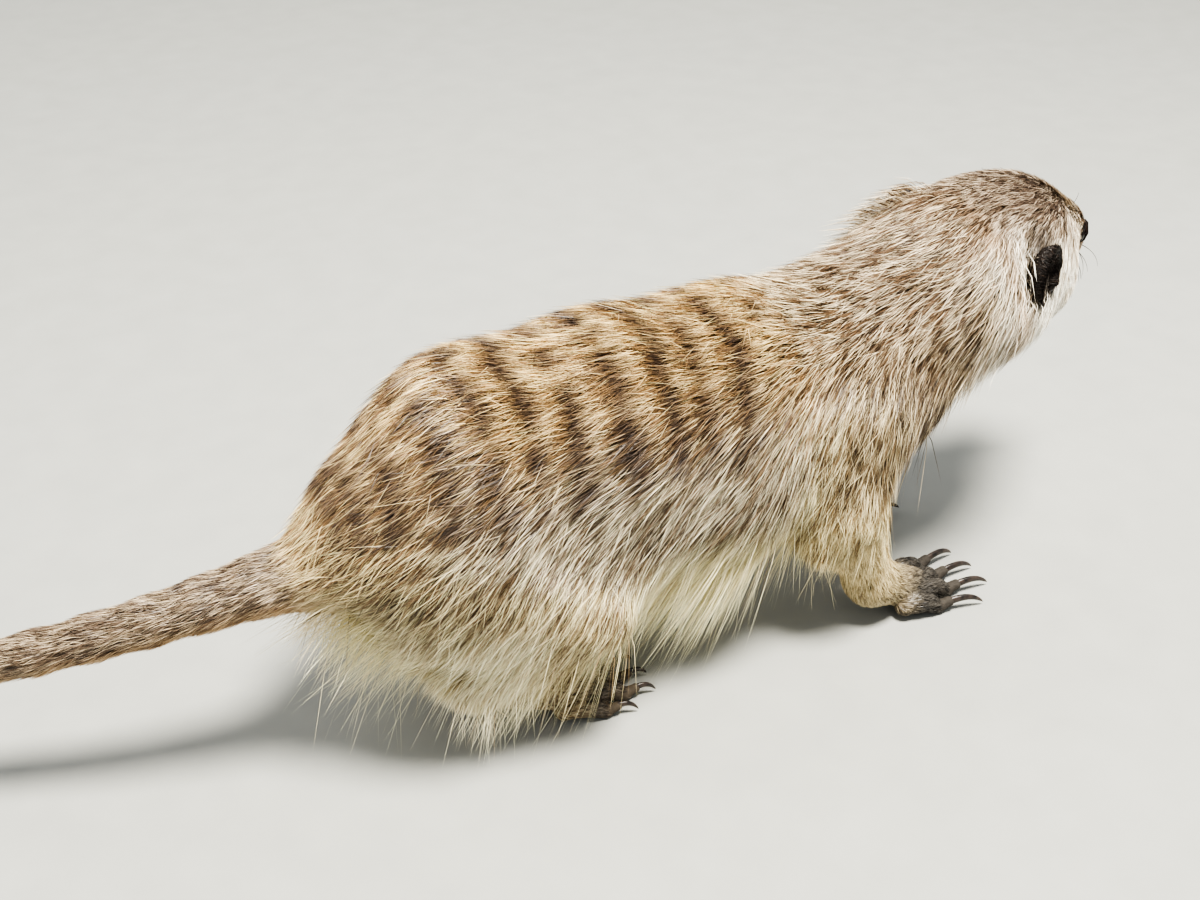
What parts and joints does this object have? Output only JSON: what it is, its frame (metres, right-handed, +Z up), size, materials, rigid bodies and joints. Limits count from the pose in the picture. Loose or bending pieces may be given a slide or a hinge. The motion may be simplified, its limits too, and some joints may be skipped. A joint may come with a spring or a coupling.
{
  "type": "meerkat",
  "caption": "Life-size standing meerkat model, head level and turned a little to its left, tail trailing behind, banded tan coat and long dark digging claws.",
  "frame": {"origin": "on the floor, under the middle of the whole animal's box", "axes": "+Z up, +X towards the head, +Y to the animal's left; the soles are at z = 0"},
  "size_m": [0.4458, 0.1184, 0.1345],
  "materials": {
    "coat": "short dense fur, grizzled tan with dark brown bands",
    "tail_coat": "short close fur, reddish brown above and tan below",
    "tail_end": "short close fur, near black",
    "foot": "very short fur over bare toe pads",
    "ear": "black skin with fine short hair",
    "claw": "smooth dark horn",
    "nose": "moist pebbled skin",
    "eye": "wet gloss"
  },
  "bodies": {
    "root": {"hind_left_upper": "coat", "hind_left_lower": "coat", "hind_left_paw": "foot", "hind_left_claw_1": "claw", "hind_left_claw_2": "claw", "hind_left_claw_3": "claw", "hind_left_claw_4": "claw", "hind_right_upper": "coat", "hind_right_lower": "coat", "hind_right_paw": "foot", "hind_right_claw_1": "claw", "hind_right_claw_2": "claw", "hind_right_claw_3": "claw", "hind_right_claw_4": "claw", "fore_left_upper": "coat", "fore_left_lower": "coat", "fore_left_paw": "foot", "fore_left_claw_1": "claw", "fore_left_claw_2": "claw", "fore_left_claw_3": "claw", "fore_left_claw_4": "claw", "fore_right_upper": "coat", "fore_right_lower": "coat", "fore_right_paw": "foot", "fore_right_claw_1": "claw", "fore_right_claw_2": "claw", "fore_right_claw_3": "claw", "fore_right_claw_4": "claw", "head": "coat", "nose": "nose", "eye_left": "eye", "ear_left": "ear", "eye_right": "eye", "ear_right": "ear", "neck": "coat", "chest": "coat", "belly": "coat", "rump": "coat", "tail_base": "tail_coat", "tail_middle": "tail_coat", "tail_tip": "tail_end"}
  },
  "joints": []
}
